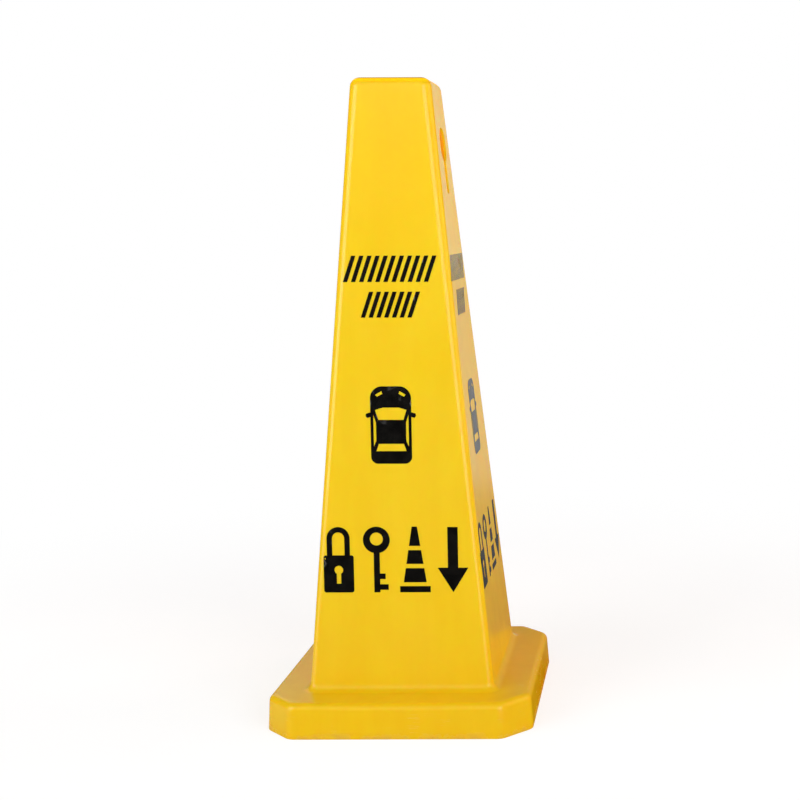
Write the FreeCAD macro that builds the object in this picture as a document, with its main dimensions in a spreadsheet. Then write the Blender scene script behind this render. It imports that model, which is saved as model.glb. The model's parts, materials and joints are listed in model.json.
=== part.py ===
import FreeCAD, Part
import math
import os
import Sketcher

# Four-sided parking cone: one thin-walled moulding of yellow polypropylene (a slender square
# pyramid on a wide flange with cut-off corners, open underneath so that cones nest) and
# twelve thin films of black graphics, three on each face.
#
# Frame, millimetres: origin at the centre of the footprint on the floor, +Z up, the front
# face looks along -Y, and the two keyhole openings near the top are in the +X and -X faces.

os.makedirs("parts", exist_ok=True)
doc = FreeCAD.newDocument("parking_cone")
V = FreeCAD.Vector

# ------------------------------------------------------------------ driving dimensions
# Heights are above the floor, unless they are the height of a thing itself.
SIZES = [
    # moulding
    ("total_height", 660.0),
    ("wall", 2.5),
    ("base_half", 137.5),        # half width of the flange at the floor
    ("base_half_top", 135.3),    # the same at the flange's top: the skirt has draft
    ("base_height", 37.0),
    ("corner_cut", 29.0),        # leg of each cut-off corner
    ("corner_rad", 14.0),        # the eight upright corners of the flange
    ("base_edge_rad", 7.5),      # flange's top edge
    ("foot_half", 96.0),         # half width of the pyramid where it meets the flange
    ("tip_half", 40.3),          # half width at the very top
    ("foot_corner_rad", 7.0),
    ("tip_corner_rad", 11.0),
    ("foot_fillet", 9.0),
    ("tip_edge_rad", 10.0),
    # keyhole openings
    ("eye_height", 595.0),
    ("eye_rad", 17.5),
    ("slot_width", 15.0),
    ("slot_end", 546.0),         # height of the slot's lower end
    ("keyhole_rim_rad", 0.8),
    # ribs under the flange: they stiffen it and set the pitch of a stack
    ("rib_thick", 2.0),
    ("rib_foot", 2.0),           # height of a rib's lower edge
    ("rib_start", 107.0),        # a rib's inner end, from the cone's axis
    ("rib_start_diag", 143.0),   # the same for the ribs behind the cut-off corners
    ("rib_spacing", 60.0),
    # gate mark on the top
    ("gate_rad", 6.0),
    ("gate_depth", 0.6),
    ("gate_nub_rad", 1.5),
    ("gate_nub", 0.4),
    # graphics
    ("film_thick", 0.15),
    ("print_shift", -3.0),       # the graphics sit a little left of each face's centre line
    ("upper_band_floor", 457.3), ("upper_band_tall", 26.2), ("upper_band_half", 47.6),
    ("lower_band_floor", 421.6), ("lower_band_tall", 25.9), ("lower_band_half", 30.3),
    ("bar_thick", 4.3), ("bar_lean", 9.0),
    ("symbol_floor", 273.3),
    ("symbol_shift", -2.0),      # the car symbol's own offset from the print's centre line
    ("row_floor", 140.4),
    ("glyph_pitch", 39.3),
    ("glyph_unit", 1.02),        # length of one unit in the symbols' outlines
]
VALUE = dict(SIZES)
sheet = doc.addObject("Spreadsheet::Sheet", "sizes")
for row, (alias, value) in enumerate(SIZES, start=1):
    sheet.set("A%d" % row, str(value))
    sheet.setAlias("A%d" % row, alias)
    sheet.set("B%d" % row, alias.replace("_", " "))
doc.recompute()

# Values that follow from the sizes
SLOPE = ((VALUE["foot_half"] - VALUE["tip_half"])
         / (VALUE["total_height"] - VALUE["base_height"]))
LEAN = math.atan(SLOPE)                       # each face leans in by about 5.1 degrees
UP_SLOPE = 1 / math.cos(LEAN)                 # length along a face per unit of height
DRAFT = (VALUE["base_half"] - VALUE["base_half_top"]) / VALUE["base_height"]
BAR_COUNTS = {"upper": 11, "lower": 7}        # leaning bars in each hazard band


class Length:
    """A sum of sheet cells times factors, with its value and its expression."""

    def __init__(self, *terms):
        self.terms = [(alias, factor) for alias, factor in terms if factor != 0]

    def __add__(self, other):
        return Length(*self.terms, *other.terms)

    def __mul__(self, factor):
        return Length(*[(alias, own * factor) for alias, own in self.terms])

    def __neg__(self):
        return self * -1

    def __sub__(self, other):
        return self + -other

    @property
    def value(self):
        return sum(VALUE[alias] * factor for alias, factor in self.terms)

    @property
    def text(self):
        return " + ".join("(%.9g) * sizes.%s" % (factor, alias) for alias, factor in self.terms)


def size(alias):
    return Length((alias, 1.0))


ZERO = Length()


# ------------------------------------------------------------------ sketching
def hold(sketch, kind, geometry, position, length):
    """Hold one coordinate of a point of the sketch at a length that comes from the sheet."""
    index = sketch.addConstraint(
        Sketcher.Constraint(kind, -1, 1, geometry, position, length.value))
    if length.terms:
        sketch.setExpression("Constraints[%d]" % index, length.text)


def hold_radius(sketch, geometry, length):
    index = sketch.addConstraint(Sketcher.Constraint("Radius", geometry, length.value))
    sketch.setExpression("Constraints[%d]" % index, length.text)


def join(sketch, end_of, start_of):
    sketch.addConstraint(Sketcher.Constraint("Coincident", end_of, 2, start_of, 1))


def add_line(sketch, x0, y0, x1, y1):
    return sketch.addGeometry(Part.LineSegment(V(x0, y0, 0), V(x1, y1, 0)), False)


def add_arc(sketch, centre_x, centre_y, radius, start_angle, end_angle):
    full = Part.Circle(V(centre_x, centre_y, 0), V(0, 0, 1), radius)
    return sketch.addGeometry(Part.ArcOfCircle(full, start_angle, end_angle), False)


def outline(sketch, nodes):
    """A closed outline. Nodes: (x, y) for a straight side to the next node, or
    (x, y, centre x, centre y) for a counter-clockwise arc to it."""
    sides = []
    for node, following in zip(nodes, nodes[1:] + nodes[:1]):
        x0, y0 = node[0].value, node[1].value
        x1, y1 = following[0].value, following[1].value
        if len(node) == 2:
            sides.append(add_line(sketch, x0, y0, x1, y1))
            continue
        centre_x, centre_y = node[2].value, node[3].value
        start_angle = math.atan2(y0 - centre_y, x0 - centre_x)
        end_angle = math.atan2(y1 - centre_y, x1 - centre_x)
        if end_angle <= start_angle:
            end_angle += 2 * math.pi
        radius = math.hypot(x0 - centre_x, y0 - centre_y)
        sides.append(add_arc(sketch, centre_x, centre_y, radius, start_angle, end_angle))

    for i, node in enumerate(nodes):
        following = nodes[(i + 1) % len(nodes)]
        join(sketch, sides[i], sides[(i + 1) % len(nodes)])
        hold(sketch, "DistanceX", sides[i], 1, node[0])
        hold(sketch, "DistanceY", sides[i], 1, node[1])
        if len(node) == 4:
            # both ends are held, so one coordinate of the centre settles the arc
            width = abs(following[0].value - node[0].value)
            height = abs(following[1].value - node[1].value)
            if width > height:
                hold(sketch, "DistanceY", sides[i], 3, node[3])
            else:
                hold(sketch, "DistanceX", sides[i], 3, node[2])


def circle(sketch, x, y, radius):
    full = Part.Circle(V(x.value, y.value, 0), V(0, 0, 1), radius.value)
    geometry = sketch.addGeometry(full, False)
    hold(sketch, "DistanceX", geometry, 3, x)
    hold(sketch, "DistanceY", geometry, 3, y)
    hold_radius(sketch, geometry, radius)


def four_corners(corner):
    """The nodes of one corner, repeated at each quarter turn about the origin."""
    nodes = []
    for _ in range(4):
        nodes += corner
        corner = [tuple(part for x, y in zip(node[::2], node[1::2]) for part in (-y, x))
                  for node in corner]
    return nodes


def rounded_square(sketch, half, radius):
    """Square of the given half width with rounded corners."""
    inset = half - radius
    outline(sketch, four_corners([
        (inset, -half, inset, -inset),
        (half, -inset),
    ]))


def cut_square(sketch, half, cut, radius):
    """Square of the given half width with its corners cut off, all eight corners rounded."""
    tangent = math.tan(math.radians(22.5))    # tangent length of a 45 degree corner, per radius
    diagonal = radius * (tangent * math.sqrt(0.5))
    shoulder = half - cut
    outline(sketch, four_corners([
        (half, shoulder - radius * tangent, half - radius, shoulder - radius * tangent),
        (half - diagonal, shoulder + diagonal),
        (shoulder + diagonal, half - diagonal, shoulder - radius * tangent, half - radius),
        (shoulder - radius * tangent, half),
    ]))


# ------------------------------------------------------------------ features
def origin_part(body, role):
    return [part for part in body.Origin.OriginFeatures if part.Role == role][0]


def new_sketch(body, name, plane="XY_Plane", lift=ZERO, rotation=FreeCAD.Rotation()):
    """A sketch on one of the body's own origin planes, lifted along that plane's normal."""
    sketch = body.newObject("Sketcher::SketchObject", name)
    sketch.AttachmentSupport = [(origin_part(body, plane), "")]
    sketch.MapMode = "FlatFace"
    sketch.AttachmentOffset = FreeCAD.Placement(V(0, 0, lift.value), rotation)
    if lift.terms:
        sketch.setExpression("AttachmentOffset.Base.z", lift.text)
    doc.recompute()
    return sketch


def bind(feature, prop, length):
    setattr(feature, prop, length.value)
    feature.setExpression(prop, length.text)


def extrude(body, kind, name, profile, length):
    """A pad or a pocket."""
    feature = body.newObject("PartDesign::" + kind, name)
    feature.Profile = profile
    bind(feature, "Length", length)
    return feature


def loft(body, kind, name, draw, low, high):
    """A ruled loft. low and high: (sketch's name, its height, arguments of draw...)."""
    sections = []
    for sketch_name, lift, *arguments in (low, high):
        section = new_sketch(body, sketch_name, lift=lift)
        draw(section, *arguments)
        sections.append(section)
    doc.recompute()
    feature = body.newObject("PartDesign::" + kind, name)
    feature.Profile = sections[0]
    feature.Sections = [sections[1]]
    feature.Ruled = True
    doc.recompute()
    return feature


def fillet(body, name, base, wanted, radius, expected=None):
    """Round the edges of base that wanted(edge) picks."""
    names = ["Edge%d" % i for i, edge in enumerate(base.Shape.Edges, start=1) if wanted(edge)]
    if not names or (expected and len(names) != expected):
        raise RuntimeError("%s: found %d edges" % (name, len(names)))
    feature = body.newObject("PartDesign::Fillet", name)
    feature.Base = (base, names)
    bind(feature, "Radius", radius)
    doc.recompute()
    return feature


def at_level(height, inside=math.inf, outside=0.0):
    """Picks edges lying at a height, within or beyond a half width."""
    def wanted(edge):
        box = edge.BoundBox
        reach = max(abs(box.XMin), abs(box.XMax), abs(box.YMin), abs(box.YMax))
        return (abs(box.ZMin - height) <= 0.01 and abs(box.ZMax - height) <= 0.01
                and outside <= reach <= inside)
    return wanted


# ------------------------------------------------------------------ the moulding
def outer_form(shell):
    cut, radius = size("corner_cut"), size("corner_rad")
    loft(shell, "AdditiveLoft", "flange", cut_square,
         ("flange_bottom", ZERO, size("base_half"), cut, radius),
         ("flange_top", size("base_height"), size("base_half_top"), cut, radius))
    loft(shell, "AdditiveLoft", "pyramid", rounded_square,
         ("pyramid_foot", size("base_height"), size("foot_half"), size("foot_corner_rad")),
         ("pyramid_tip", size("total_height"), size("tip_half"), size("tip_corner_rad")))


def hollows(shell):
    """The space under the flange, then the space in the pyramid, which overlaps it."""
    wall = size("wall")
    roof = size("base_height") - wall
    cut = size("corner_cut") - wall * (2 - math.sqrt(2))
    radius = size("corner_rad") - wall
    loft(shell, "SubtractiveLoft", "skirt_hollow", cut_square,
         ("skirt_hollow_bottom", ZERO, size("base_half") - wall, cut, radius),
         ("skirt_hollow_top", roof, size("base_half_top") - wall + wall * DRAFT, cut, radius))

    side_wall = wall * UP_SLOPE               # the wall measured level
    return loft(shell, "SubtractiveLoft", "pyramid_hollow", rounded_square,
                ("pyramid_hollow_foot", roof - wall,
                 size("foot_half") - side_wall + wall * (2 * SLOPE),
                 size("foot_corner_rad") - wall),
                ("pyramid_hollow_tip", size("total_height") - wall,
                 size("tip_half") - side_wall + wall * SLOPE,
                 size("tip_corner_rad") - wall))


def rounded_edges(shell, base):
    """The level edges, first inside the moulding, then outside."""
    wall = size("wall")
    floor_in = VALUE["base_height"] - VALUE["wall"]
    floor_out = VALUE["base_height"]
    top_in = VALUE["total_height"] - VALUE["wall"]
    foot = VALUE["foot_half"]
    midway = (foot + VALUE["base_half_top"]) / 2      # on the flange's flat top
    roundings = [
        # name, edges, radius, number of edges
        ("tip_rounding_inside", at_level(top_in), size("tip_edge_rad") - wall, 8),
        ("flange_edge_inside", at_level(floor_in, outside=midway),
         size("base_edge_rad") - wall, 16),
        ("foot_blend_inside", at_level(floor_in, inside=foot),
         size("foot_fillet") + wall * 0.8, 8),
        ("tip_rounding", at_level(VALUE["total_height"]), size("tip_edge_rad"), 8),
        ("foot_blend", at_level(floor_out, inside=foot + 0.5), size("foot_fillet"), 8),
        ("flange_edge", at_level(floor_out, outside=midway), size("base_edge_rad"), 16),
    ]
    for name, wanted, radius, count in roundings:
        base = fillet(shell, name, base, wanted, radius, count)


def face_x(height):
    """How far the outside of the +X face lies from the axis at a height."""
    return VALUE["foot_half"] - SLOPE * (height - VALUE["base_height"])


def keyhole_sketch(shell):
    """A round eye with a narrower slot below it. The sketch stands on the +X face, its
    origin at the eye's centre and its y axis up the slope."""
    sketch = new_sketch(shell, "keyhole", plane="YZ_Plane")
    sketch.AttachmentOffset = FreeCAD.Placement(
        V(0, VALUE["eye_height"], face_x(VALUE["eye_height"])),
        FreeCAD.Rotation(V(1, 0, 0), -math.degrees(LEAN)))
    sketch.setExpression("AttachmentOffset.Base.y", "sizes.eye_height")
    sketch.setExpression(
        "AttachmentOffset.Base.z",
        "sizes.foot_half - (sizes.foot_half - sizes.tip_half)"
        " * (sizes.eye_height - sizes.base_height)"
        " / (sizes.total_height - sizes.base_height)")

    radius = VALUE["eye_rad"]
    right_x, left_x = size("slot_width") * 0.5, size("slot_width") * -0.5
    # centre of the slot's round end
    tail = (size("slot_end") - size("eye_height")) * UP_SLOPE + right_x
    half, tail_y = right_x.value, tail.value
    neck_y = -math.sqrt(radius ** 2 - half ** 2)      # where the slot meets the eye
    neck_angle = math.atan2(neck_y, half)

    eye = add_arc(sketch, 0, 0, radius, neck_angle, math.pi - neck_angle)
    left = add_line(sketch, -half, neck_y, -half, tail_y)
    end = add_arc(sketch, 0, tail_y, half, math.pi, 2 * math.pi)
    right = add_line(sketch, half, tail_y, half, neck_y)
    for side, following in ((eye, left), (left, end), (end, right), (right, eye)):
        join(sketch, side, following)
    for kind, geometry, position, length in (
        ("DistanceX", eye, 3, ZERO), ("DistanceY", eye, 3, ZERO),
        ("DistanceX", eye, 1, right_x), ("DistanceX", eye, 2, left_x),
        ("DistanceX", left, 2, left_x), ("DistanceY", left, 2, tail),
        ("DistanceX", end, 2, right_x), ("DistanceY", end, 2, tail),
        ("DistanceY", end, 3, tail),
    ):
        hold(sketch, kind, geometry, position, length)
    hold_radius(sketch, eye, size("eye_rad"))
    doc.recompute()
    return sketch


def on_keyhole_rim(edge):
    """Picks the edges of both keyholes that lie on the outside of their faces."""
    box = edge.BoundBox
    return (box.ZMin > VALUE["slot_end"] - 1
            and box.ZMax < VALUE["eye_height"] + VALUE["eye_rad"] + 1
            and min(abs(box.XMin), abs(box.XMax)) > VALUE["tip_half"]
            and max(abs(box.YMin), abs(box.YMax)) < VALUE["eye_rad"] + 0.5
            and all(abs(abs(v.X) - face_x(v.Z)) < 0.01 for v in edge.Vertexes))


def keyholes(shell):
    """An opening cut square to the +X face, its mirror image, and their softened rims."""
    opening = extrude(shell, "Pocket", "keyhole_opening", keyhole_sketch(shell),
                      size("wall") * 8)
    opening.Type = "Length"
    doc.recompute()
    both = shell.newObject("PartDesign::Mirrored", "keyhole_openings")
    both.Originals = [opening]
    both.MirrorPlane = (origin_part(shell, "YZ_Plane"), [""])
    shell.Tip = both
    doc.recompute()
    fillet(shell, "keyhole_rims", both, on_keyhole_rim, size("keyhole_rim_rad"))


def rib(shell, name, start, edge_low, edge_top, draft, turn, sideways):
    """One upright rib, from start out to the skirt, whose outer edge is at edge_low on the
    floor and edge_top at the flange's top. turn swings it about the upright axis."""
    sketch = new_sketch(shell, name + "_outline", "XZ_Plane", sideways,
                        FreeCAD.Rotation(V(0, 1, 0), turn))
    foot, edge_rad = size("rib_foot"), size("base_edge_rad")
    # outer and upper edges end halfway through the wall, so the rib fuses with it
    half_wall = size("wall") * 0.5
    roof = size("base_height") - half_wall
    bend = size("base_height") - edge_rad
    outline(sketch, [
        (start, foot),
        (edge_low - foot * draft - half_wall, foot),
        (edge_low - bend * draft - half_wall, bend),
        (edge_top - edge_rad * 0.42, roof - edge_rad * 0.235),   # within the rounded edge
        (edge_top - edge_rad, roof),
        (start, roof),
    ])
    doc.recompute()
    pad = extrude(shell, "Pad", name, sketch, size("rib_thick"))
    # the name of the two-sided setting depends on the FreeCAD version
    if "SideType" in pad.PropertiesList:
        pad.SideType = "Symmetric"
    else:
        pad.Midplane = True
    doc.recompute()
    return pad


def ribs(shell):
    """Three ribs to a side and one behind each cut-off corner."""
    spacing = size("rib_spacing")
    low, top = size("base_half"), size("base_half_top")
    originals = [
        rib(shell, name, size("rib_start"), low, top, DRAFT, turn=0, sideways=sideways)
        for name, sideways in (("rib_middle", ZERO), ("rib_near", spacing),
                               ("rib_far", -spacing))
    ]
    diagonal_low, diagonal_top = [
        (half * 2 - size("corner_cut")) * math.sqrt(0.5) for half in (low, top)]
    originals.append(rib(shell, "rib_corner", size("rib_start_diag"), diagonal_low,
                         diagonal_top, DRAFT * math.sqrt(2), turn=45, sideways=ZERO))
    around = shell.newObject("PartDesign::PolarPattern", "ribs_all_round")
    around.Originals = originals
    around.Axis = (origin_part(shell, "Z_Axis"), [""])
    around.Angle = 360
    around.Occurrences = 4
    shell.Tip = around
    doc.recompute()


def gate_mark(shell):
    """A shallow round dimple in the top with the sheared sprue in it."""
    for kind, name, sketch_name, lift, radius, length in (
        ("Pocket", "gate_dimple", "gate_dimple_outline",
         size("total_height"), size("gate_rad"), size("gate_depth")),
        ("Pad", "gate_nub_stub", "gate_nub_outline",
         size("total_height") - size("gate_depth"), size("gate_nub_rad"), size("gate_nub")),
    ):
        sketch = new_sketch(shell, sketch_name, lift=lift)
        circle(sketch, ZERO, ZERO, radius)
        doc.recompute()
        shell.Tip = extrude(shell, kind, name, sketch, length)
        doc.recompute()


def cone_shell():
    shell = doc.addObject("PartDesign::Body", "cone_shell")
    outer_form(shell)
    rounded_edges(shell, hollows(shell))
    keyholes(shell)
    ribs(shell)
    gate_mark(shell)
    return shell


# ------------------------------------------------------------------ the graphics
# A film's outline is drawn flat: x to the right, y up the slope from the pyramid's foot.
def up_face(alias):
    """Distance up the slope of a height above the floor."""
    return (size(alias) - size("base_height")) * UP_SLOPE


class Glyph:
    """Draws a symbol in glyph units, measured from the middle of the symbol's foot."""

    def __init__(self, sketch, centre, floor):
        self.sketch = sketch
        self.origin = (centre, up_face(floor))

    def node(self, *coordinates):
        return tuple(self.origin[i % 2] + size("glyph_unit") * coordinate
                     for i, coordinate in enumerate(coordinates))

    def outline(self, points):
        """points: (x, y) or (x, y, centre x, centre y), as for outline()."""
        outline(self.sketch, [self.node(*point) for point in points])

    def circle(self, x, y, radius):
        circle(self.sketch, *self.node(x, y), size("glyph_unit") * radius)


def bands(sketch):
    """Two hazard bands, one above the other, of leaning bars."""
    thick, lean = size("bar_thick"), size("bar_lean")
    for band, count in BAR_COUNTS.items():
        half = size(band + "_band_half")
        low = up_face(band + "_band_floor")
        high = low + size(band + "_band_tall") * UP_SLOPE
        # the row of bars fills the band from its left end to its right end
        travel = half * 2 - thick - lean
        for i in range(count):
            left = size("print_shift") - half + travel * (i / (count - 1))
            right = left + thick
            outline(sketch, [(left, low), (right, low), (right + lean, high), (left + lean, high)])


def car(sketch):
    """A car seen from above, its nose up, with the glass left open."""
    glyph = Glyph(sketch, size("print_shift") + size("symbol_shift"), "symbol_floor")
    half, length = 20.5, 77.6
    nose, tail = 12.0, 7.0           # corner radii
    glyph.outline([
        (-half + tail, 0), (half - tail, 0, half - tail, tail), (half, tail),
        # bulge on the right side
        (half, 47.0), (half + 3.2, 46.0), (half + 4.8, 48.0), (half + 4.2, 50.4), (half, 51.6),
        (half, length - nose, half - nose, length - nose), (half - nose, length),
        (-half + nose, length, -half + nose, length - nose), (-half, length - nose),
        # bulge on the left side
        (-half, 51.6), (-half - 4.2, 50.4), (-half - 4.8, 48.0), (-half - 3.2, 46.0),
        (-half, 47.0),
        (-half, tail, -half + tail, tail),
    ])
    # glass towards the nose, then towards the tail
    glyph.outline([(-12.6, 44.0), (12.6, 44.0), (15.8, 54.0),
                   (8.0, 56.4), (-8.0, 56.4), (-15.8, 54.0)])
    glyph.outline([(-15.2, 12.6), (15.2, 12.6), (12.6, 20.0), (-12.6, 20.0)])
    # a long opening on each side, and a small one at each nose corner
    side = [(17.6, 17.0), (17.6, 49.5), (15.0, 41.4), (15.0, 23.0)]
    corner = [(9.0, 72.9), (15.4, 69.2), (13.4, 67.2), (8.0, 70.2)]
    for sign in (1, -1):
        for points in (side, corner):
            glyph.outline([(sign * x, y) for x, y in points][::sign])


def padlock(glyph):
    half, corner, top = 15.2, 2.4, 38.0                  # the lock's body
    outer, inner, bow = 11.6, 6.2, 55.2                  # shackle: radii, height of its centre
    glyph.outline([
        (-half + corner, 0), (half - corner, 0, half - corner, corner), (half, corner),
        (half, top - corner, half - corner, top - corner), (half - corner, top), (outer, top),
        (outer, bow, 0, bow), (-outer, bow), (-outer, top),
        (-half + corner, top, -half + corner, top - corner), (-half, top - corner),
        (-half, corner, -half + corner, corner),
    ])
    glyph.outline([(-inner, top), (inner, top), (inner, bow, 0, bow), (-inner, bow)])
    # keyhole
    slot_half, eye, eye_y = 2.2, 4.4, 23.0
    neck = eye_y - math.sqrt(eye ** 2 - slot_half ** 2)
    glyph.outline([(-slot_half, 9.0), (slot_half, 9.0),
                   (slot_half, neck, 0, eye_y), (-slot_half, neck)])


def door_key(glyph):
    """A key standing on its tip, with two teeth to the right and a round head."""
    head, head_y, stem = 13.5, 53.5, 3.0                 # stem is its half width
    neck = head_y - math.sqrt(head ** 2 - stem ** 2)
    glyph.outline([
        (-stem, 0), (stem, 0),
        (stem, 2.6), (11.5, 2.6), (11.5, 8.2), (stem, 8.2),
        (stem, 13.6), (8.6, 13.6), (8.6, 19.2), (stem, 19.2),
        (stem, neck, 0, head_y), (-stem, neck),
    ])
    glyph.circle(0, head_y + 1.0, 6.6)


def traffic_cone(glyph):
    """A foot plate and three tapering blocks above it."""
    plate, plate_top, tip_y = 15.5, 6.2, 67.0
    foot, tip = 12.2, 2.6            # half widths of the cone on its plate and at its tip

    def half(y):
        return foot - (y - plate_top) * (foot - tip) / (tip_y - plate_top)

    glyph.outline([(-plate, 0), (plate, 0), (plate, plate_top), (-plate, plate_top)])
    for low, high in ((10.2, 24.6), (29.0, 43.0), (47.4, tip_y)):
        glyph.outline([(-half(low), low), (half(low), low), (half(high), high), (-half(high), high)])


def down_arrow(glyph):
    half, stem, shoulder, top = 15.5, 5.2, 25.0, 66.5    # stem is its half width
    glyph.outline([(0, 0), (half, shoulder), (stem, shoulder), (stem, top),
                   (-stem, top), (-stem, shoulder), (-half, shoulder)])


def pictograms(sketch):
    """Padlock, key, traffic cone and an arrow to the floor, in a row."""
    for i, draw in enumerate((padlock, door_key, traffic_cone, down_arrow)):
        centre = size("print_shift") + size("glyph_pitch") * (i - 1.5)
        draw(Glyph(sketch, centre, "row_floor"))


def film(name, draw, placement):
    body = doc.addObject("PartDesign::Body", name)
    sketch = new_sketch(body, name + "_outline")
    draw(sketch)
    doc.recompute()
    body.Tip = extrude(body, "Pad", name + "_film", sketch, size("film_thick"))
    body.Placement = placement
    return body


def all_films():
    # the front face's plane, tilted back by the lean; the others are turned about Z
    front = FreeCAD.Placement(V(0, -VALUE["foot_half"], VALUE["base_height"]),
                              FreeCAD.Rotation(V(1, 0, 0), 90 - math.degrees(LEAN)))
    films = []
    for face, turn in (("front", 0), ("right", 90), ("back", 180), ("left", 270)):
        turned = FreeCAD.Placement(V(0, 0, 0), FreeCAD.Rotation(V(0, 0, 1), turn))
        for graphic, draw in (("stripe_bands", bands), ("car_symbol", car),
                              ("pictogram_row", pictograms)):
            films.append(film("%s_%s" % (face, graphic), draw, turned.multiply(front)))
    return films


# ------------------------------------------------------------------ build, check and write
shell = cone_shell()
parts = [shell] + all_films()
doc.recompute()

for item in doc.Objects:
    if "Invalid" in item.State or "Error" in item.State:
        raise RuntimeError("%s (%s): %s" % (item.Label, item.TypeId, item.State))
for part in parts:
    shape = part.Shape
    if shape.isNull() or not shape.isValid() or not shape.Solids:
        raise RuntimeError("%s has no valid solid" % part.Label)
    if any(not solid.isClosed() or solid.Volume <= 0 for solid in shape.Solids):
        raise RuntimeError("%s: open or inverted solid" % part.Label)
if len(shell.Shape.Solids) != 1:
    raise RuntimeError("the moulding is not one solid")
for part in parts:
    part.Shape.exportStep("parts/%s.step" % part.Label)
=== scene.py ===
import json
import math

import bmesh
import bpy
import numpy as np
from mathutils import Matrix, Vector, noise


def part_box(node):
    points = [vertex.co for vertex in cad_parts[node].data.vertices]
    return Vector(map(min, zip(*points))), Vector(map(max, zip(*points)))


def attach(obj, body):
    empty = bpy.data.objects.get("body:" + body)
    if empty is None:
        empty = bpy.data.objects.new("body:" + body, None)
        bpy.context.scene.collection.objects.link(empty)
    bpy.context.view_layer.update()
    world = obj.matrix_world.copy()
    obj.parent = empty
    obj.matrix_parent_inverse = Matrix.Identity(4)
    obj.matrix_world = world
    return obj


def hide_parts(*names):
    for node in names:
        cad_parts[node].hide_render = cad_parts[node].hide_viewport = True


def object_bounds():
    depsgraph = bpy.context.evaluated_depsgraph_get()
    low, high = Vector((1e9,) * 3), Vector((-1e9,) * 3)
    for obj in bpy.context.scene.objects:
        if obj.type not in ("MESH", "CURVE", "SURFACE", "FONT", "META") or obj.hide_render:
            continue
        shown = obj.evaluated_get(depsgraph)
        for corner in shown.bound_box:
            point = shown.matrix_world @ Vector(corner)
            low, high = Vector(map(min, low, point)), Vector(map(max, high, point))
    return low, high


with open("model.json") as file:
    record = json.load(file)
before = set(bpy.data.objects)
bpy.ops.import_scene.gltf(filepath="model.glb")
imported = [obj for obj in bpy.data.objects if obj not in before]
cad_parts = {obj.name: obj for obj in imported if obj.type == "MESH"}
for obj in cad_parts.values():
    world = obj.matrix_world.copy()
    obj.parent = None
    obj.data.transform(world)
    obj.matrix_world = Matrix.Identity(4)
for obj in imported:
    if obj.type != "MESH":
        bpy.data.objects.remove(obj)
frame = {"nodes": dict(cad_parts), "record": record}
cad_lo, cad_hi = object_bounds()
record = frame["record"]

# The moulding's own sizes, in millimetres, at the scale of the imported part.
H = 660.0
MM = (cad_hi.z - cad_lo.z) / H
BASE, BASE_TOP, BASE_H = 137.5, 135.3, 37.0
CUT, CORNER, EDGE = 29.0, 14.0, 7.5
FOOT, TIP = 96.0, 40.3
FOOT_R, TIP_R = 7.0, 11.0
FOOT_FILLET, TIP_EDGE = 9.0, 10.0
WALL = 2.5
EYE_Z, EYE_R, SLOT_W, SLOT_END = 595.0, 17.5, 15.0, 546.0

SLOPE = (FOOT - TIP) / (H - BASE_H)
LEAN = math.atan(SLOPE)
SKIRT = (BASE - BASE_TOP) / BASE_H
DRAFT = math.atan(SKIRT)

NS, NA, NB = 48, 5, 8                  # segments: along a side, round a corner, along a cut
NC = 2 * NA + NB
N = 4 * (NS + NC)


# ---------------------------------------------------------------- outlines
def octagon(half, cut, r):
    """Cut-corner square with rounded corners: N points, anticlockwise, from the +X side's low end."""
    s = half - cut - r * math.tan(math.radians(22.5))
    side = [(half, -s + 2 * s * i / NS) for i in range(NS + 1)]
    c1, c2 = (half - r, s), (s, half - r)
    a = [(c1[0] + r * math.cos(math.pi / 4 * i / NA), c1[1] + r * math.sin(math.pi / 4 * i / NA))
         for i in range(1, NA + 1)]
    b2 = (c2[0] + r * math.cos(math.pi / 4), c2[1] + r * math.sin(math.pi / 4))
    line = [(a[-1][0] + (b2[0] - a[-1][0]) * i / NB, a[-1][1] + (b2[1] - a[-1][1]) * i / NB)
            for i in range(1, NB + 1)]
    b = [(c2[0] + r * math.cos(math.pi / 4 * (1 + i / NA)), c2[1] + r * math.sin(math.pi / 4 * (1 + i / NA)))
         for i in range(1, NA)]
    return spin(side + a + line + b)


def rounded(half, r):
    """Square with rounded corners, on the same N points."""
    s = half - r
    side = [(half, -s + 2 * s * i / NS) for i in range(NS + 1)]
    arc = [(s + r * math.cos(math.pi / 2 * i / NC), s + r * math.sin(math.pi / 2 * i / NC)) for i in range(1, NC)]
    return spin(side + arc)


def disc(r):
    """Circle on the same N points, matched to the square's own directions."""
    base = rounded(1.0, 0.05)
    a = np.arctan2(base[:, 1], base[:, 0])
    return np.stack([r * np.cos(a), r * np.sin(a)], 1)


def spin(quarter):
    q = np.array(quarter, float)
    out = [q]
    for _ in range(3):
        q = np.stack([-q[:, 1], q[:, 0]], 1)
        out.append(q)
    return np.concatenate(out)


def face_at(z):
    """Half width of the pyramid's outer face at a height."""
    return FOOT - SLOPE * (z - BASE_H)


def corner_at(z):
    return FOOT_R + (TIP_R - FOOT_R) * (z - BASE_H) / (H - BASE_H)


def skirt_at(z):
    return BASE - SKIRT * z


# ---------------------------------------------------------------- ring stacks
def ring(points, z):
    return np.concatenate([points, np.full((len(points), 1), float(z))], 1)


Z_LOW = BASE_H + FOOT_FILLET * (1 - math.sin(LEAN))       # the straight wall's two ends
Z_HIGH = H - TIP_EDGE * (1 - math.sin(LEAN))
LEVELS = [Z_LOW + (Z_HIGH - Z_LOW) * i / 122 for i in range(123)]
outer, inner = [], []

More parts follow.
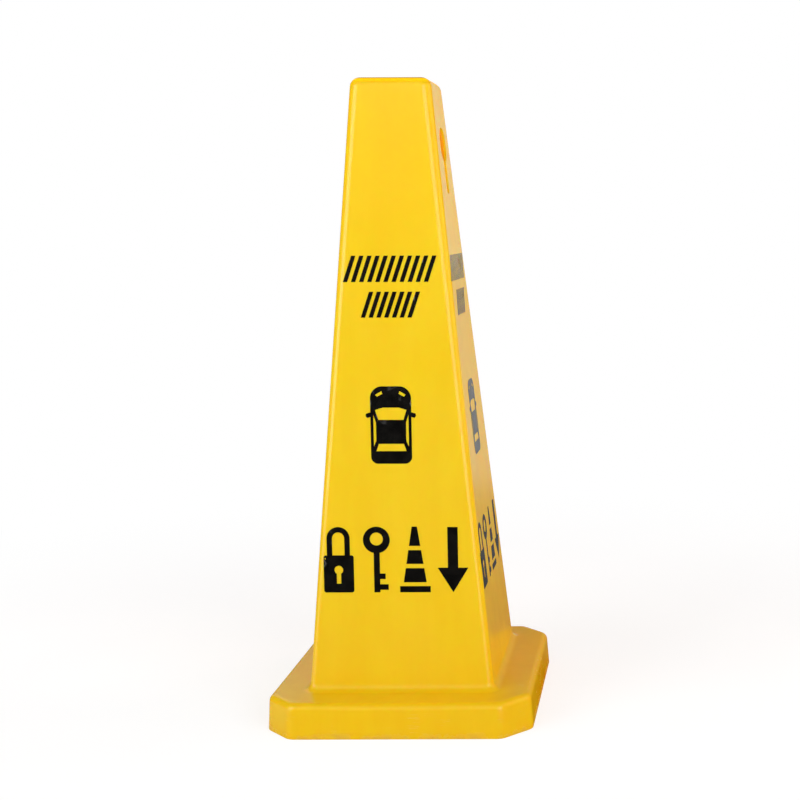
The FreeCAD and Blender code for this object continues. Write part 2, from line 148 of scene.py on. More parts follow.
# outside: rim, skirt, flange edge, flange top, foot blend, faces, tip edge, top, gate mark
e = 0.5
for a in (0, 45):
    o = e * (1 - math.sin(math.radians(a)))
    outer.append(ring(octagon(BASE - o, CUT - o * (2 - math.sqrt(2)), CORNER - o), e * (1 - math.cos(math.radians(a)))))
for z in [e + (BASE_H - EDGE * (1 - math.sin(DRAFT)) - e) * i / 10 for i in range(10)]:
    outer.append(ring(octagon(skirt_at(z), CUT, CORNER), z))
xc = skirt_at(BASE_H - EDGE) - EDGE / math.cos(DRAFT)
for i in range(11):
    a = DRAFT + (math.pi / 2 - DRAFT) * i / 10
    x = xc + EDGE * math.cos(a)
    o = xc + EDGE * math.cos(DRAFT) - x
    outer.append(ring(octagon(x, CUT - o * (2 - math.sqrt(2)), CORNER - o), BASE_H - EDGE + EDGE * math.sin(a)))
edge_in = outer[-1][:, :2]
xf = face_at(BASE_H + FOOT_FILLET) + FOOT_FILLET / math.cos(LEAN)
rf = corner_at(BASE_H + FOOT_FILLET) + (xf - face_at(BASE_H + FOOT_FILLET))
foot_out = rounded(xf, rf)
for i in range(1, 10):
    f = i / 10
    outer.append(ring(edge_in * (1 - f) + foot_out * f, BASE_H))
for i in range(12):
    a = math.pi / 2 - (math.pi / 2 - LEAN) * i / 11
    x = xf - FOOT_FILLET * math.cos(a)
    z = BASE_H + FOOT_FILLET - FOOT_FILLET * math.sin(a)
    if i < 11:
        outer.append(ring(rounded(x, rf - (xf - x)), z))
OUT0 = len(outer)
for z in LEVELS:
    outer.append(ring(rounded(face_at(z), corner_at(z)), z))
xt = face_at(H - TIP_EDGE) - TIP_EDGE / math.cos(LEAN)
rt = corner_at(H - TIP_EDGE)
for i in range(1, 13):
    a = LEAN + (math.pi / 2 - LEAN) * i / 12
    x = xt + TIP_EDGE * math.cos(a)
    o = xt + TIP_EDGE * math.cos(LEAN) - x
    outer.append(ring(rounded(x, max(rt - o, 0.5)), H - TIP_EDGE + TIP_EDGE * math.sin(a)))
last, gate = outer[-1][:, :2], disc(6.4)
for i in range(1, 8):
    f = i / 8
    outer.append(ring(last * (1 - f) + gate * f, H))
for r, dz in ((6.4, 0.0), (6.2, 0.04), (6.05, 0.16), (5.95, 0.44), (5.8, 0.57), (5.5, 0.6), (4.0, 0.6), (2.4, 0.58),
              (1.75, 0.54), (1.55, 0.4), (1.45, 0.24), (1.2, 0.2), (0.6, 0.22)):
    outer.append(ring(disc(r), H - dz))

# inside: rim, skirt, under the flange, foot blend, faces, under the top
half_in = lambda z: face_at(z) - WALL / math.cos(LEAN)
for a in (0, 45):
    o = e * (1 - math.sin(math.radians(a)))
    inner.append(ring(octagon(BASE - WALL + o, CUT - (WALL - o) * (2 - math.sqrt(2)), CORNER - WALL + o),
                      e * (1 - math.cos(math.radians(a)))))
EI = EDGE - WALL
for z in [e + (BASE_H - EDGE + EI * math.sin(DRAFT) - e) * i / 6 for i in range(6)]:
    inner.append(ring(octagon(skirt_at(z) - WALL, CUT - WALL * (2 - math.sqrt(2)), CORNER - WALL), z))
xi = skirt_at(BASE_H - EDGE) - WALL - EI / math.cos(DRAFT)
for i in range(7):
    a = DRAFT + (math.pi / 2 - DRAFT) * i / 6
    x = xi + EI * math.cos(a)
    o = xi + EI * math.cos(DRAFT) - x
    inner.append(ring(octagon(x, CUT - (WALL + o) * (2 - math.sqrt(2)), CORNER - WALL - o),
                      BASE_H - EDGE + EI * math.sin(a)))
under = inner[-1][:, :2]
FI = FOOT_FILLET + WALL
xg = half_in(BASE_H + FOOT_FILLET) + FI / math.cos(LEAN)
rg = corner_at(BASE_H + FOOT_FILLET) - WALL + (xg - half_in(BASE_H + FOOT_FILLET))
under_in = rounded(xg, rg)
for i in range(1, 6):
    f = i / 6
    inner.append(ring(under * (1 - f) + under_in * f, BASE_H - WALL))
for i in range(11):
    a = math.pi / 2 - (math.pi / 2 - LEAN) * i / 11
    x = xg - FI * math.cos(a)
    inner.append(ring(rounded(x, rg - (xg - x)), BASE_H + FOOT_FILLET - FI * math.sin(a)))
IN0 = len(inner)
for z in LEVELS:
    inner.append(ring(rounded(half_in(z), corner_at(z) - WALL), z))
TI = TIP_EDGE - WALL
for i in range(1, 9):
    a = LEAN + (math.pi / 2 - LEAN) * i / 8
    x = xt + TI * math.cos(a)
    o = xt + TI * math.cos(LEAN) - x
    inner.append(ring(rounded(x, max(rt - WALL - o, 0.5)), H - TIP_EDGE + TI * math.sin(a)))
last, small = inner[-1][:, :2], disc(2.0)
for i in range(1, 7):
    f = i / 6
    inner.append(ring(last * (1 - f) + small * f, H - WALL))


# ---------------------------------------------------------------- how a real moulding departs from the drawing
def warp(x, y, z):
    """Offset of a point of the pyramid's wall along its face's normal, in millimetres: the flat
    panels draw in a little as they cool, and are never quite flat. It fades out at the corners."""
    half = face_at(z)
    side = 0 if abs(x) > abs(y) else 1
    across = (y if side == 0 else x)
    u = min(1.0, abs(across) / (half - corner_at(z) * 0.6))
    v = min(1.0, max(0.0, (z - 48.0) / (645.0 - 48.0)))
    fade_u = (1 - u * u) ** 2
    fade_v = min(1.0, v * 9) * min(1.0, (1 - v) * 9)
    fade_v = fade_v * fade_v * (3 - 2 * fade_v)
    draw_in = -0.62 * (half / FOOT) * math.sin(math.pi * min(1.0, v * 1.04) ** 0.8)
    p = Vector((x, y, z * 0.55)) / 46.0
    ripple = 0.16 * noise.noise(p) + 0.05 * noise.noise(p * 2.7 + Vector((7.1, 3.3, 1.9)))
    return (draw_in + ripple) * fade_u * fade_v


def warp_wall(co):
    """Applies warp to an array of points of the pyramid's wall."""
    c, s = math.cos(LEAN), math.sin(LEAN)
    out = co.copy()
    for k, (x, y, z) in enumerate(co):
        if z < 47.0 or z > 648.0:
            continue
        d = warp(x, y, z)
        if abs(x) > abs(y):
            out[k, 0] += d * c * (1 if x > 0 else -1)
        else:
            out[k, 1] += d * c * (1 if y > 0 else -1)
        out[k, 2] += d * s
    return out


def drape(co):
    """Lays a film's ends on the rounded vertical edges, where it reaches past the flat panel."""
    c, s = math.cos(LEAN), math.sin(LEAN)
    out = co.copy()
    for k, (x, y, z) in enumerate(co):
        side = 0 if abs(x) > abs(y) else 1
        over = abs(co[k, 1 - side]) - (face_at(z) - corner_at(z))
        if over > 0:
            r = corner_at(z)
            d = r - math.sqrt(max(0.0, r * r - over * over))
            out[k, side] -= d * c * (1 if co[k, side] > 0 else -1)
            out[k, 2] -= d * s
    return out


def settle(co):
    """The flange's top edge sags slightly between its corners."""
    out = co.copy()
    for k, (x, y, z) in enumerate(co):
        if 20.0 < z <= BASE_H + 0.01 and max(abs(x), abs(y)) > 106:
            big, small_ = max(abs(x), abs(y)), min(abs(x), abs(y))
            f = max(0.0, 1 - (small_ / 112.0) ** 2) * min(1.0, (big - 106) / 20.0) * min(1.0, (z - 20) / 12.0)
            skew = 0.3 * math.sin((x - y) / 60.0)
            out[k, 2] -= (0.75 + skew) * f
    return out


# ---------------------------------------------------------------- keyhole openings
KEY_C = -12.0                          # a point inside both the eye and the slot, up the slope
SLOT_V = -(EYE_Z - SLOT_END) / math.cos(LEAN) + SLOT_W / 2


def key_exit(theta, off):
    """Where a ray from inside the opening leaves its outline, grown by off. In the face's plane:
    (across, up the slope), from the eye's centre."""
    dy, dv = math.cos(theta), math.sin(theta)
    b = KEY_C * dv
    t = -b + math.sqrt(b * b - KEY_C ** 2 + (EYE_R + off) ** 2)
    hw = SLOT_W / 2 + off
    if dv < 0.3:
        t1 = hw / abs(dy) if abs(dy) > 1e-6 else 1e9
        v1 = KEY_C + t1 * dv
        if v1 < SLOT_V:
            c = KEY_C - SLOT_V
            t = max(t, -c * dv + math.sqrt(max(0.0, c * c * dv * dv - c * c + hw * hw)))
        elif v1 < -5:
            t = max(t, t1)
    return t * dy, KEY_C + t * dv


def wall_point(y, v, depth, sign):
    """A point of the +X or -X wall, by its place in the face's plane and its depth below it."""
    c, s = math.cos(LEAN), math.sin(LEAN)
    x, z = face_at(EYE_Z) - v * s - depth * c, EYE_Z + v * c - depth * s
    return (sign * x, sign * y, z)


# ---------------------------------------------------------------- build the moulding
def build_shell():
    verts, faces = [], []
    O = np.concatenate(outer)
    I = np.concatenate(inner)
    no, ni = len(outer), len(inner)
    verts = [tuple(v) for v in O] + [tuple(v) for v in I]
    off_i = no * N
    j0 = min(range(len(LEVELS)), key=lambda k: abs(LEVELS[k] - 529))
    j1 = min(range(len(LEVELS)), key=lambda k: abs(LEVELS[k] - 634))
    c0, c1 = NS // 2 - 17, NS // 2 + 17
    side_start = {1: 0, -1: 2 * (NS + NC)}

    def in_hole(j, i):
        if not j0 <= j < j1:
            return False
        return any(s + c0 <= i < s + c1 for s in side_start.values())

    for j in range(no - 1):
        for i in range(N):
            if in_hole(j - OUT0, i):
                continue
            k = (i + 1) % N
            faces.append((j * N + i, j * N + k, (j + 1) * N + k, (j + 1) * N + i))
    for j in range(ni - 1):
        for i in range(N):
            if in_hole(j - IN0, i):
                continue
            k = (i + 1) % N
            faces.append((off_i + j * N + i, off_i + (j + 1) * N + i, off_i + (j + 1) * N + k, off_i + j * N + k))
    for i in range(N):
        k = (i + 1) % N
        faces.append((off_i + i, off_i + k, k, i))
    verts.append((0.0, 0.0, H - 0.22))
    top = len(verts) - 1
    verts.append((0.0, 0.0, H - WALL))
    ceil = len(verts) - 1
    for i in range(N):
        k = (i + 1) % N
        faces.append(((no - 1) * N + i, (no - 1) * N + k, top))
        faces.append((off_i + (ni - 1) * N + k, off_i + (ni - 1) * N + i, ceil))

    yj = SLOT_W / 2
    vj = -math.sqrt(EYE_R ** 2 - yj ** 2)
    for sign, s in side_start.items():
        loop = [(j0, c) for c in range(c0, c1)] + [(j, c1) for j in range(j0, j1)] \
            + [(j1, c) for c in range(c1, c0, -1)] + [(j, c0) for j in range(j1, j0, -1)]
        n = len(loop)
        out_ids = [(OUT0 + j) * N + s + c for j, c in loop]
        in_ids = [off_i + (IN0 + j) * N + s + c for j, c in loop]
        c_, s_ = math.cos(LEAN), math.sin(LEAN)

        def in_plane(vid):
            x, y, z = verts[vid]
            return sign * y, (z - EYE_Z) * c_ - (sign * x - face_at(EYE_Z)) * s_

        edge = np.array([in_plane(v) for v in out_ids])
        edge_i = np.array([in_plane(v) for v in in_ids])
        theta = np.arctan2(edge[:, 1] - KEY_C, edge[:, 0])
        for want in (math.atan2(vj - KEY_C, yj), math.atan2(vj - KEY_C, -yj)):
            gap = np.abs((theta - want + math.pi) % (2 * math.pi) - math.pi)
            theta[int(gap.argmin())] = want
        loops = [out_ids]

        def add(points):
            ids = []
            for p in points:
                verts.append(p)
                ids.append(len(verts) - 1)
            loops.append(ids)

        ro, ri = 0.8, 0.5
        start = np.array([key_exit(t, ro + 0.9) for t in theta])
        for f in (0.14, 0.3, 0.48, 0.68, 0.86, 1.0):
            q = edge * (1 - f) + start * f
            add([wall_point(y, z, 0, sign) for y, z in q])
        for a in (0, 22.5, 45, 67.5, 90):
            a = math.radians(a)
            add([wall_point(*key_exit(t, ro * (1 - math.sin(a))), ro * (1 - math.cos(a)), sign) for t in theta])
        add([wall_point(*key_exit(t, 0.0), 1.4, sign) for t in theta])
        for a in (90, 45, 0):
            a = math.radians(a)
            add([wall_point(*key_exit(t, ri * (1 - math.sin(a))), WALL - ri * (1 - math.cos(a)), sign) for t in theta])
        start = np.array([key_exit(t, ri + 0.9) for t in theta])
        for f in (1.0, 0.86, 0.68, 0.48, 0.3, 0.14):
            q = edge_i * (1 - f) + start * f
            add([wall_point(y, z, WALL, sign) for y, z in q])
        loops.append(in_ids)
        for a, b in zip(loops, loops[1:]):
            for i in range(n):
                k = (i + 1) % n
                faces.append((a[i], a[k], b[k], b[i]))

    co = np.array(verts, float)
    co = settle(warp_wall(co))
    return co * MM, faces


def mesh_object(name, co, faces):
    me = bpy.data.meshes.new(name)
    me.from_pydata([tuple(c) for c in co], [], faces)
    me.validate()
    o = bpy.data.objects.new(name, me)
    bpy.context.scene.collection.objects.link(o)
    return o


def drop_unused(o):
    bm = bmesh.new()
    bm.from_mesh(o.data)
    loose = [v for v in bm.verts if not v.link_faces]
    bmesh.ops.delete(bm, geom=loose, context="VERTS")
    bmesh.ops.recalc_face_normals(bm, faces=bm.faces)
    bm.to_mesh(o.data)
    bm.free()


def shade(o, degrees=34):
    for p in o.data.polygons:
        p.use_smooth = True
    o.data.set_sharp_from_angle(angle=math.radians(degrees))


co, faces = build_shell()
shell = mesh_object("parking_cone_moulding", co, faces)
drop_unused(shell)

# Ribs under the flange, joined into the moulding.
def rib_block(profile, thick, turn, sideways):
    """A rib from its outline in (distance out, height), its thickness across, turned about Z."""
    pts = []
    c, s = math.cos(turn), math.sin(turn)
    for t in (-thick / 2, thick / 2):
        for x, z in profile:
            y = sideways + t
            pts.append(((x * c - y * s) * MM, (x * s + y * c) * MM, z * MM))
    n = len(profile)
    fs = [tuple(range(n)), tuple(range(2 * n - 1, n - 1, -1))]
    fs += [(i, i + n, (i + 1) % n + n, (i + 1) % n) for i in range(n)]
    return pts, fs


def ribs():
    pts, fs = [], []
    for q in range(4):
        turn = math.pi / 2 * q
        for side in (-60.0, 0.0, 60.0):
            prof = [(107, 2.4), (107.4, 2), (skirt_at(2) - 1.2, 2), (skirt_at(29.5) - 1.2, 29.5), (132.1, 33.9),
                    (127.8, 35.4), (107, 35.4)]
            p, f = rib_block(prof, 2.0, turn, side)
            fs += [tuple(i + len(pts) for i in g) for g in f]
            pts += p
        d = (2 * BASE - CUT) / math.sqrt(2)
        prof = [(143, 2.4), (143.4, 2), (d - 0.17 - 1.2, 2), (d - 2.48 - 1.2, 29.5), (167.6, 33.9), (163.3, 35.4),
                (143, 35.4)]
        p, f = rib_block(prof, 2.0, turn + math.pi / 4, 0.0)
        fs += [tuple(i + len(pts) for i in g) for g in f]
        pts += p
    o = mesh_object("rib_cutter", pts, fs)
    bm = bmesh.new()
    bm.from_mesh(o.data)
    bmesh.ops.recalc_face_normals(bm, faces=bm.faces)
    bm.to_mesh(o.data)
    bm.free()
    return o


rib_obj = ribs()
mod = shell.modifiers.new("ribs", "BOOLEAN")
mod.operation = "UNION"
mod.solver = "MANIFOLD"
mod.object = rib_obj
dg = bpy.context.evaluated_depsgraph_get()
joined = bpy.data.meshes.new_from_object(shell.evaluated_get(dg))
shell.modifiers.clear()
shell.data = joined
bpy.data.objects.remove(rib_obj)
shade(shell)


def mark_painted_glow(me):
    """A point attribute for the material's painted glow: 1 on the inner walls high up, 0 outside and low down."""
    n = len(me.vertices)
    co = np.empty(n * 3, np.float32)
    me.vertices.foreach_get("co", co)
    x, y, z = np.abs(co.reshape(-1, 3).T) / MM
    half, r = FOOT - SLOPE * (z - BASE_H), FOOT_R + (TIP_R - FOOT_R) * (z - BASE_H) / (H - BASE_H)
    qx, qy = x - (half - r), y - (half - r)
    gap = np.minimum(np.maximum(qx, qy), 0) + np.hypot(np.maximum(qx, 0), np.maximum(qy, 0)) - r
    # where the painted glow goes: the inner walls, rising towards the top
    inside = np.clip((-gap - 0.9) / 1.2, 0, 1) * (z < H - 1.2)
    values = inside * np.clip((z - 430) / 165, 0, 1) ** 1.4
    me.attributes.new("painted_glow_mask", "FLOAT", "POINT").data.foreach_set("value", values.astype(np.float32))


mark_painted_glow(shell.data)


# ---------------------------------------------------------------- the graphics
def film_piece(node, name):
    """The printed film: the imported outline, cut fine enough to lie on the drawn-in panel."""
    src = frame["nodes"][node]
    bm = bmesh.new()
    bm.from_mesh(src.data)
    bmesh.ops.remove_doubles(bm, verts=bm.verts, dist=2e-6)
    face = node.split("_")[0]
    turn = {"front": 0, "right": 1, "back": 2, "left": 3}[face]
    axis = Vector(((1, 0, 0), (0, 1, 0), (-1, 0, 0), (0, -1, 0))[turn])
    lo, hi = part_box(node)
    span = [abs(lo @ axis), abs(hi @ axis)]
    ends = sorted([lo @ axis, hi @ axis])
    steps = int((ends[1] - ends[0]) / (6.5 * MM))
    for i in range(1, steps):
        p = axis * (ends[0] + (ends[1] - ends[0]) * i / steps)
        bmesh.ops.bisect_plane(bm, geom=bm.verts[:] + bm.edges[:] + bm.faces[:], plane_co=p, plane_no=axis, dist=1e-7)
    steps = int((hi.z - lo.z) / (7.5 * MM))
    for i in range(1, steps):
        p = Vector((0, 0, lo.z + (hi.z - lo.z) * i / steps))
        bmesh.ops.bisect_plane(bm, geom=bm.verts[:] + bm.edges[:] + bm.faces[:], plane_co=p, plane_no=(0, 0, 1), dist=1e-7)
    co = np.array([v.co for v in bm.verts], float) / MM
    co = drape(warp_wall(co))
    for v, c in zip(bm.verts, co):
        v.co = Vector(c) * MM
    bmesh.ops.recalc_face_normals(bm, faces=bm.faces)
    me = bpy.data.meshes.new(name)
    bm.to_mesh(me)
    bm.free()
    o = bpy.data.objects.new(name, me)
    bpy.context.scene.collection.objects.link(o)
    shade(o, 30)
    return o


# ---------------------------------------------------------------- materials
class Nodes:
    """Short hand for building a node tree."""

    def __init__(self, tree):
        self.t = tree

    def add(self, kind, inputs=None, **props):
        n = self.t.nodes.new(kind)
        for k, v in props.items():
            setattr(n, k, v)
        for k, v in (inputs or {}).items():
            self.put(n, k, v)
        return n

    def put(self, n, key, v):
        if isinstance(v, bpy.types.NodeSocket):
            self.t.links.new(v, n.inputs[key])
        else:
            n.inputs[key].default_value = v

    def math(self, op, a, b=0.0, c=0.0, clamp=False):
        n = self.add("ShaderNodeMath", operation=op, use_clamp=clamp)
        for i, v in enumerate((a, b, c)):
            self.put(n, i, v)
        return n.outputs[0]

    def ramp(self, v, lo, hi, out_lo=0.0, out_hi=1.0, smooth=True):
        n = self.add("ShaderNodeMapRange", interpolation_type="SMOOTHSTEP" if smooth else "LINEAR", clamp=True)
        for k, x in (("Value", v), ("From Min", lo), ("From Max", hi), ("To Min", out_lo), ("To Max", out_hi)):
            self.put(n, k, x)
        return n.outputs["Result"]

    def noise(self, vec, scale, detail=2.0, rough=0.5, distort=0.0):
        n = self.add("ShaderNodeTexNoise", {"Vector": vec, "Scale": scale, "Detail": detail, "Roughness": rough,
                                            "Distortion": distort})
        return n.outputs["Fac"]

    def scale(self, vec, s):
        n = self.add("ShaderNodeVectorMath", {0: vec, 1: s}, operation="MULTIPLY")
        return n.outputs[0]

    def mix(self, f, a, b, blend="MIX"):
        n = self.add("ShaderNodeMix", data_type="RGBA", blend_type=blend)
        self.put(n, 0, f)
        self.put(n, 6, a)
        self.put(n, 7, b)
        return n.outputs[2]


def new_material(name):
    m = bpy.data.materials.new(name)
    m.use_nodes = True
    m.node_tree.nodes.clear()
    return m, Nodes(m.node_tree)


def yellow_plastic():
    m, k = new_material("yellow_polypropylene")
    pos = k.add("ShaderNodeTexCoord").outputs["Object"]
    xyz = k.add("ShaderNodeSeparateXYZ", {0: pos}).outputs
    # colour: pigment streaks drawn down from the gate, and a broad cloudiness
    streak = k.noise(k.scale(pos, (38, 38, 4.5)), 1.0, 4, 0.55, 0.6)
    cloud = k.noise(pos, 9.0, 3, 0.5, 0.3)
    base = k.mix(k.ramp(streak, 0.3, 0.7), (0.90, 0.557, 0.0070, 1), (0.93, 0.592, 0.0090, 1))
    base = k.mix(k.ramp(cloud, 0.35, 0.7, 0.0, 0.55), base, (0.91, 0.541, 0.0055, 1))
    # scuffs: fine scratches, thick near the flange's edges, faint higher up
    low = k.ramp(xyz[2], 0.012, 0.06, 1.0, 0.0)
    fine = k.noise(k.scale(pos, (55, 55, 1500)), 1.0, 3, 0.5, 0.15)
    patches = k.noise(pos, 24.0, 4, 0.6, 0.8)
    scuff = k.math("MULTIPLY", k.ramp(fine, 0.58, 0.72), k.ramp(patches, 0.50, 0.68))
    scuff = k.math("MULTIPLY", scuff, k.math("ADD", k.math("MULTIPLY", low, 0.30), 0.02))
    base = k.mix(scuff, base, (0.95, 0.66, 0.20, 1))
    # a little road dust along the rim's very bottom
    dust = k.math("MULTIPLY", k.ramp(xyz[2], 0.0, 0.009, 1.0, 0.0), k.ramp(k.noise(pos, 60.0, 5, 0.6), 0.38, 0.66))
    base = k.mix(k.math("MULTIPLY", dust, 0.30), base, (0.36, 0.25, 0.12, 1))
    # roughness: a polished tool surface, a little uneven
    rough = k.ramp(k.noise(pos, 17.0, 4, 0.55, 0.4), 0.3, 0.7, 0.19, 0.26)
    rough = k.math("ADD", rough, k.math("MULTIPLY", scuff, 0.35))
    rough = k.math("ADD", rough, k.math("MULTIPLY", dust, 0.25))
    # relief: faint orange peel over slow flow waves, and the scratches
    peel = k.noise(pos, 620.0, 2, 0.5)
    flow = k.noise(k.scale(pos, (46, 46, 14)), 1.0, 3, 0.5, 0.5)
    h = k.math("ADD", k.math("MULTIPLY", peel, 0.000012), k.math("MULTIPLY", flow, 0.00016))
    h = k.math("SUBTRACT", h, k.math("MULTIPLY", scuff, 0.00003))
    bump = k.add("ShaderNodeBump", {"Height": h, "Strength": 1.0, "Distance": 1.0}).outputs[0]
    # painted glow: the inner walls' upper part emits orange light, stronger to camera rays than to others, with less
    # specular there, standing in for light that filters through the thin wall
    painted_glow_mask = k.add("ShaderNodeAttribute", attribute_name="painted_glow_mask").outputs["Fac"]
    seen = k.ramp(k.add("ShaderNodeLightPath").outputs["Is Camera Ray"], 0.0, 1.0, 0.06, 0.46, smooth=False)
    p = k.add("ShaderNodeBsdfPrincipled", {
        "Base Color": base, "Roughness": rough, "IOR": 1.5, "Normal": bump,
        "Subsurface Weight": 0.6, "Subsurface Radius": (1.0, 0.4, 0.06), "Subsurface Scale": 0.008,
        "Specular IOR Level": k.ramp(painted_glow_mask, 0.0, 0.4, 0.5, 0.12, smooth=False),
        # emission of the painted glow on the inner walls
        "Emission Color": (1.0, 0.40, 0.003, 1), "Emission Strength": k.math("MULTIPLY", painted_glow_mask, seen),
    })
    k.add("ShaderNodeOutputMaterial", {"Surface": p.outputs[0]})
    return m


def black_ink():
    m, k = new_material("black_print")
    pos = k.add("ShaderNodeTexCoord").outputs["Object"]
    body = k.noise(pos, 90.0, 5, 0.6, 0.3)
    grain = k.noise(pos, 900.0, 2, 0.5)
    col = k.mix(k.ramp(body, 0.35, 0.7), (0.0030, 0.0029, 0.0027, 1), (0.0060, 0.0055, 0.0048, 1))
    # pinholes in the ink, where the yellow shows
    pin = k.add("ShaderNodeTexVoronoi", {"Vector": pos, "Scale": 420.0, "Randomness": 1.0}).outputs["Distance"]
    holes = k.math("MULTIPLY", k.ramp(pin, 0.05, 0.12, 1.0, 0.0), k.ramp(k.noise(pos, 38.0, 3, 0.5), 0.60, 0.72))
    col = k.mix(k.math("MULTIPLY", holes, 0.75), col, (0.62, 0.33, 0.01, 1))
    rough = k.ramp(body, 0.3, 0.7, 0.13, 0.20)
    h = k.math("MULTIPLY", grain, 0.00001)
    bump = k.add("ShaderNodeBump", {"Height": h, "Strength": 1.0, "Distance": 1.0}).outputs[0]
    p = k.add("ShaderNodeBsdfPrincipled", {"Base Color": col, "Roughness": rough, "IOR": 1.54, "Normal": bump})
    k.add("ShaderNodeOutputMaterial", {"Surface": p.outputs[0]})
    return m


yellow = yellow_plastic()
ink = black_ink()
shell.data.materials.clear()
shell.data.materials.append(yellow)
for p in shell.data.polygons:
    p.material_index = 0
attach(shell, "root")
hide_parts("cone_shell")
for node in sorted(frame["nodes"]):
    if node == "cone_shell":
        continue
    piece = film_piece(node, node + "_print")
    piece.data.materials.clear()
    piece.data.materials.append(ink)
    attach(piece, "root")
    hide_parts(node)

# ---------------------------------------------------------------- floor, light, camera
def sector(k, x, y, azimuth, half):
    """1 inside a sector of directions round the object (degrees from -Y towards +X), soft at its sides."""
    a = math.radians(azimuth)
    ahead = k.math("ADD", k.math("MULTIPLY", x, math.sin(a)), k.math("MULTIPLY", y, -math.cos(a)))
    across = k.math("ADD", k.math("MULTIPLY", x, math.cos(a)), k.math("MULTIPLY", y, math.sin(a)))
    off = k.math("ABSOLUTE", k.math("ARCTAN2", across, ahead))
    return k.ramp(off, math.radians(half) * 0.6, math.radians(half) * 1.4, 1.0, 0.0)


def stage_material():
    m, k = new_material("pale_floor")
    pos = k.add("ShaderNodeTexCoord").outputs["Object"]
    path = k.add("ShaderNodeLightPath").outputs
    d = k.add("ShaderNodeVectorMath", {0: pos}, operation="LENGTH").outputs["Value"]
    far = k.ramp(d, 0.30, 1.15)
    tone = k.ramp(k.noise(pos, 3.0, 3, 0.5), 0.2, 0.8, 0.34, 0.37)
    pale = k.add("ShaderNodeCombineColor", {0: tone, 1: tone, 2: tone}).outputs[0]
    seen = k.add("ShaderNodeBsdfDiffuse", {"Color": pale, "Roughness": 0.6}).outputs[0]
    lift = k.add("ShaderNodeEmission", {"Color": (0.968, 0.986, 1, 1), "Strength": 0.72}).outputs[0]
    seen = k.add("ShaderNodeAddShader", {0: seen, 1: lift}).outputs[0]
    white = k.add("ShaderNodeEmission", {"Color": (1, 1, 1, 1), "Strength": 1.0}).outputs[0]
    seen = k.add("ShaderNodeMixShader", {0: far, 1: seen, 2: white}).outputs[0]
    # what the object mirrors: a dark room in front, a bright sweep of floor behind
    xyz = k.add("ShaderNodeSeparateXYZ", {0: pos}).outputs
    away = k.math("ADD", k.ramp(d, 0.45, 0.75, 0.10, 0.16), k.ramp(d, 1.1, 1.7, 0.0, 0.30))
    glow = k.math("MULTIPLY", away, sector(k, xyz[0], xyz[1], 180, 45))
    beside = k.math("MULTIPLY", k.ramp(d, 0.45, 0.75, 0.33, 0.01), sector(k, xyz[0], xyz[1], -90, 45))
    strips = k.math("ADD", sector(k, xyz[0], xyz[1], 44, 12), sector(k, xyz[0], xyz[1], -60, 12))
    strips = k.math("MULTIPLY", strips, k.ramp(d, 0.25, 0.45, 0.0, 1.6))
    glow = k.math("ADD", k.math("ADD", glow, beside), strips)
    mirrored = k.add("ShaderNodeEmission", {"Color": (1, 1, 1, 1), "Strength": glow}).outputs[0]
    # what lights it from below: the floor, warm with the object's own colour close by
    warm = k.mix(k.ramp(d, 0.14, 0.55), (0.46, 0.25, 0.08, 1), (0.5, 0.47, 0.43, 1))
    near = k.add("ShaderNodeBsdfDiffuse", {"Color": warm, "Roughness": 0.6}).outputs[0]
    flank = k.math("MULTIPLY", sector(k, xyz[0], xyz[1], 105, 32), k.ramp(d, 0.35, 0.8, 1.0, 0.0))
    tint = k.mix(flank, (1, 1, 1, 1), (1.15, 0.36, 0.08, 1))
    soft = k.add("ShaderNodeEmission", {"Color": tint, "Strength": k.ramp(d, 0.3, 1.2, 0.396, 0.70)}).outputs[0]
    other = k.add("ShaderNodeAddShader", {0: near, 1: soft}).outputs[0]
    other = k.add("ShaderNodeMixShader", {0: path["Is Glossy Ray"], 1: other, 2: mirrored}).outputs[0]
    out = k.add("ShaderNodeMixShader", {0: path["Is Camera Ray"], 1: other, 2: seen}).outputs[0]
    k.add("ShaderNodeOutputMaterial", {"Surface": out})
    return m


bm = bmesh.new()
bmesh.ops.create_grid(bm, x_segments=8, y_segments=8, size=30.0)
me = bpy.data.meshes.new("floor")
bm.to_mesh(me)
bm.free()
floor = bpy.data.objects.new("floor", me)
bpy.context.scene.collection.objects.link(floor)
floor.location = (0, 0, cad_lo.z)
me.materials.append(stage_material())


def area(name, at, target, size, size_y, power, colour=(1, 1, 1)):
    l = bpy.data.lights.new(name, "AREA")
    l.shape, l.size, l.size_y, l.energy, l.color = "RECTANGLE", size, size_y, power, colour
    o = bpy.data.objects.new(name, l)
    bpy.context.scene.collection.objects.link(o)
    o.location = at
    o.rotation_mode = "QUATERNION"
    o.rotation_quaternion = (Vector(target) - Vector(at)).to_track_quat("-Z", "Y")
    return o


mid = (0, 0, 0.32)
for name, azimuth, height, power, colour in (("key_right", 40, 15, 20.2, (1, 1, 1)), ("key_left", -50, 15, 24.2, (1, 1, 1)),
                                             ("top_left", -20, 40, 3.8, (1, 1, 1)),
                                             ("side_right", 100, 20, 14.6, (1.0, 0.56, 0.32))):
    a, e = math.radians(azimuth), math.radians(height)
    at = (2.35 * math.sin(a) * math.cos(e), -2.35 * math.cos(a) * math.cos(e), mid[2] + 2.35 * math.sin(e))
    area(name, at, mid, 1.6, 1.6, power, colour)

world = bpy.data.worlds.new("studio")
bpy.context.scene.world = world
world.use_nodes = True
world.node_tree.nodes.clear()
k = Nodes(world.node_tree)
path = k.add("ShaderNodeLightPath").outputs
where = k.add("ShaderNodeSeparateXYZ", {0: k.add("ShaderNodeTexCoord").outputs["Generated"]}).outputs
cam_bg = k.add("ShaderNodeBackground", {"Color": (1, 1, 1, 1), "Strength": 1.0}).outputs[0]
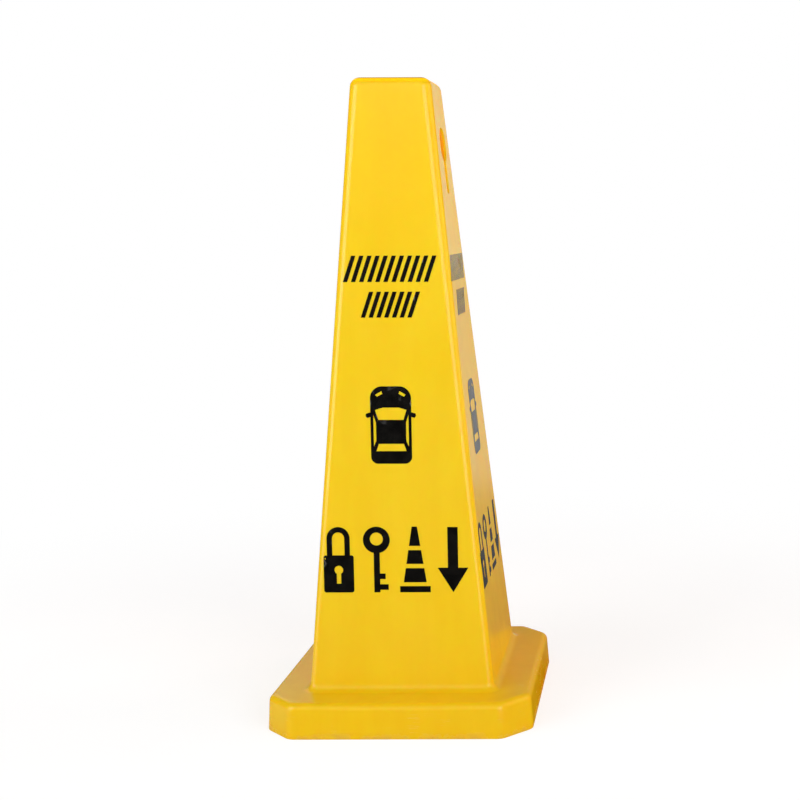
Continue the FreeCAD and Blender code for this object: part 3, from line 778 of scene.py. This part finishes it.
# what the object mirrors: a bright sweep behind it, brighter panels behind on its left and high in front
low, high = k.ramp(where[2], 0.15, 0.27, 1.0, 0.0), k.ramp(where[2], 0.15, 0.27)
high = k.math("MULTIPLY", high, k.ramp(where[2], 0.6, 0.8, 1.0, 0.0))
mirror = 0.0
for azimuth, band, strength in ((180, low, 0.68), (-150, low, 0.155), (120, low, 0.06), (-150, high, 0.78),
                                (180, high, 0.12),
                                (0, high, 0.36)):
    zone = k.math("MULTIPLY", sector(k, where[0], where[1], azimuth, 15), k.math("MULTIPLY", band, strength))
    mirror = k.math("ADD", zone, mirror)
gloss_bg = k.add("ShaderNodeBackground", {"Color": (1, 1, 1, 1), "Strength": mirror}).outputs[0]
fill = k.mix(k.ramp(where[1], -0.1, 0.35), (0.47, 0.47, 0.47, 1), (0.86, 0.66, 0.58, 1))
overhead = k.ramp(where[2], 0.32, 0.92, 1.07, 0.50)
dif_bg = k.add("ShaderNodeBackground", {"Color": fill, "Strength": overhead}).outputs[0]
w = k.add("ShaderNodeMixShader", {0: path["Is Glossy Ray"], 1: dif_bg, 2: gloss_bg}).outputs[0]
w = k.add("ShaderNodeMixShader", {0: path["Is Camera Ray"], 1: w, 2: cam_bg}).outputs[0]
k.add("ShaderNodeOutputWorld", {"Surface": w})

scene = bpy.context.scene
scene.view_settings.view_transform = "Standard"
scene.view_settings.look = "None"

FOCAL, PX, PY = 1353.47, 657.92, 463.99
CAM = (0.2676172, -1.4387875, 0.5220243)
PITCH, ROLL = 0.1812, -0.0032
cam = bpy.data.cameras.new("camera")
cam_obj = bpy.data.objects.new("camera", cam)
scene.collection.objects.link(cam_obj)
cam.sensor_fit, cam.sensor_width = "HORIZONTAL", 36.0
cam.lens = FOCAL * 36.0 / 800.0
cam.clip_start, cam.clip_end = 0.05, 100.0
cam_obj.location = CAM
cp, sp, cr, sr = math.cos(PITCH), math.sin(PITCH), math.cos(ROLL), math.sin(ROLL)
fwd, right, up = Vector((0, cp, -sp)), Vector((1, 0, 0)), Vector((0, sp, cp))
right, up = cr * right + sr * up, cr * up - sr * right
cam_obj.rotation_mode = "XYZ"
cam_obj.rotation_euler = Matrix((right, up, -fwd)).transposed().to_euler("XYZ")
# The lens is shifted only while the camera stands at its own place.
for prop, value in (("shift_x", (400 - PX) / 800), ("shift_y", (PY - 400) / 800)):
    setattr(cam, prop, value)
    d = cam.driver_add(prop).driver
    d.type = "SCRIPTED"
    v = d.variables.new()
    v.name = "px"
    v.type = "TRANSFORMS"
    v.targets[0].id = cam_obj
    v.targets[0].transform_type = "LOC_X"
    v.targets[0].transform_space = "WORLD_SPACE"
    d.expression = "%.6f if abs(px - %.6f) < 0.0005 else 0.0" % (value, CAM[0])
scene.camera = cam_obj
